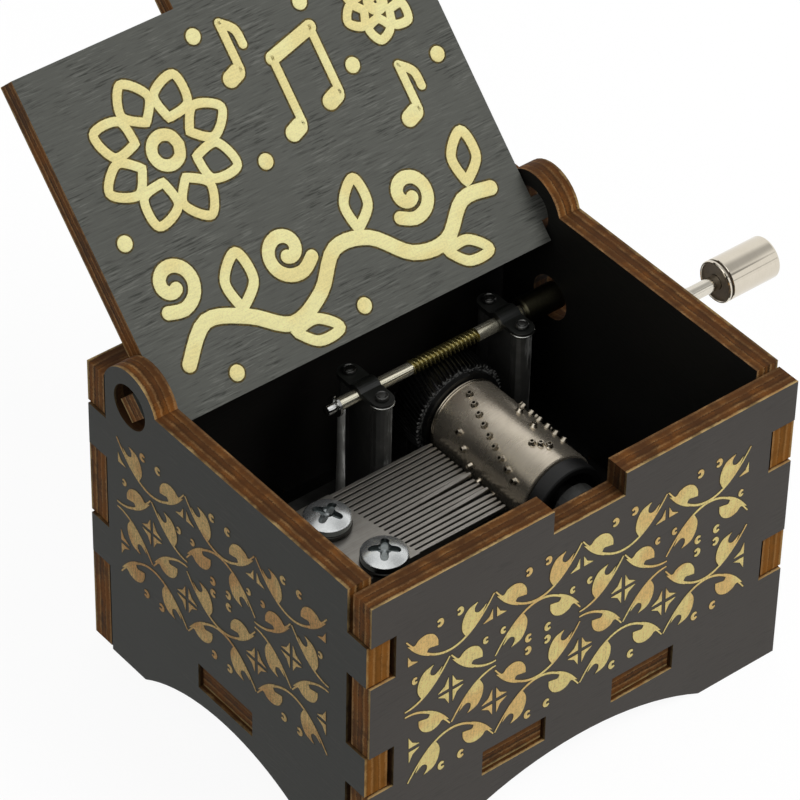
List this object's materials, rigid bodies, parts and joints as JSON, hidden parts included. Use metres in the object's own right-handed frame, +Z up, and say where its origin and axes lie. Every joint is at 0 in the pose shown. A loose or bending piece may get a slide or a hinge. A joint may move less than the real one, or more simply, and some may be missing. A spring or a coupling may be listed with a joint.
{
  "type": "hand-cranked music box",
  "caption": "Small plywood music box: finger-jointed case, flush hinged lid, and a worm-driven pinned-cylinder movement turned by a side crank.",
  "frame": {"origin": "the middle of the underside of the whole object's bounding box, with the lid open as stored; the case's own middle is 10.25 mm to -X and 11.46 mm to -Y of it, and the feet stand on Z = 0", "axes": "+X along the front wall towards the crank, -Y out of the front wall with the lid's notch, +Z up"},
  "size_m": [0.0826, 0.0748, 0.0725],
  "materials": {
    "painted_ply": "charcoal-painted plywood with laser-burnt brown edges",
    "cast_black": "black satin casting",
    "comb_steel": "dark blued steel",
    "cylinder_nickel": "warm grey plated steel",
    "bright_chrome": "bright plating",
    "worm_brass": "turned, bright with a yellow shade",
    "black_nylon": "black moulded plastic",
    "washer_dark": "dark steel"
  },
  "bodies": {
    "case": {"back_wall": "painted_ply", "base_screw_1": "bright_chrome", "base_screw_2": "bright_chrome", "base_screw_3": "bright_chrome", "base_screw_4": "bright_chrome", "comb": "comb_steel", "comb_screw_front": "bright_chrome", "comb_screw_rear": "bright_chrome", "comb_washer_front": "washer_dark", "comb_washer_rear": "washer_dark", "floor_panel": "painted_ply", "front_wall": "painted_ply", "left_wall": "painted_ply", "movement_frame": "cast_black", "right_wall": "painted_ply", "shaft_strap_left": "cast_black", "shaft_strap_right": "cast_black", "strap_rivet_left_front": "cast_black", "strap_rivet_left_rear": "cast_black", "strap_rivet_right_front": "cast_black", "strap_rivet_right_rear": "cast_black", "thrust_post": "bright_chrome"},
    "lid_leaf": {"lid": "painted_ply"},
    "crank": {"worm_shaft": "worm_brass", "shaft_clip": "bright_chrome", "crank_coupling": "bright_chrome", "crank_handle": "bright_chrome"},
    "knob": {"crank_knob": "bright_chrome"},
    "cylinder": {"pinned_cylinder": "cylinder_nickel", "drive_gear": "black_nylon", "cylinder_cap": "black_nylon", "cylinder_arbor": "bright_chrome"}
  },
  "joints": [
    {"name": "lid_hinge", "type": "hinge", "parent": "case", "child": "lid_leaf", "pos_m": [-0.01025, 0.00594, 0.04075], "axis": [1, 0, 0], "range_deg": [-12, 134.7]},
    {"name": "crank_turn", "type": "hinge", "parent": "case", "child": "crank", "pos_m": [0.02075, 0.00204, 0.03], "axis": [1, 0, 0], "continuous": true},
    {"name": "knob_spin", "type": "hinge", "parent": "crank", "child": "knob", "pos_m": [0.0372, -0.00976, 0.03217], "axis": [1, 0, 0], "continuous": true},
    {"name": "cylinder_turn", "type": "hinge", "parent": "case", "child": "cylinder", "pos_m": [0.0011, -0.01146, 0.023], "axis": [0, 1, 0], "continuous": true}
  ],
  "couplings": [
    {"joint": "cylinder_turn", "follows": "crank_turn", "ratio": -0.030303}
  ]
}
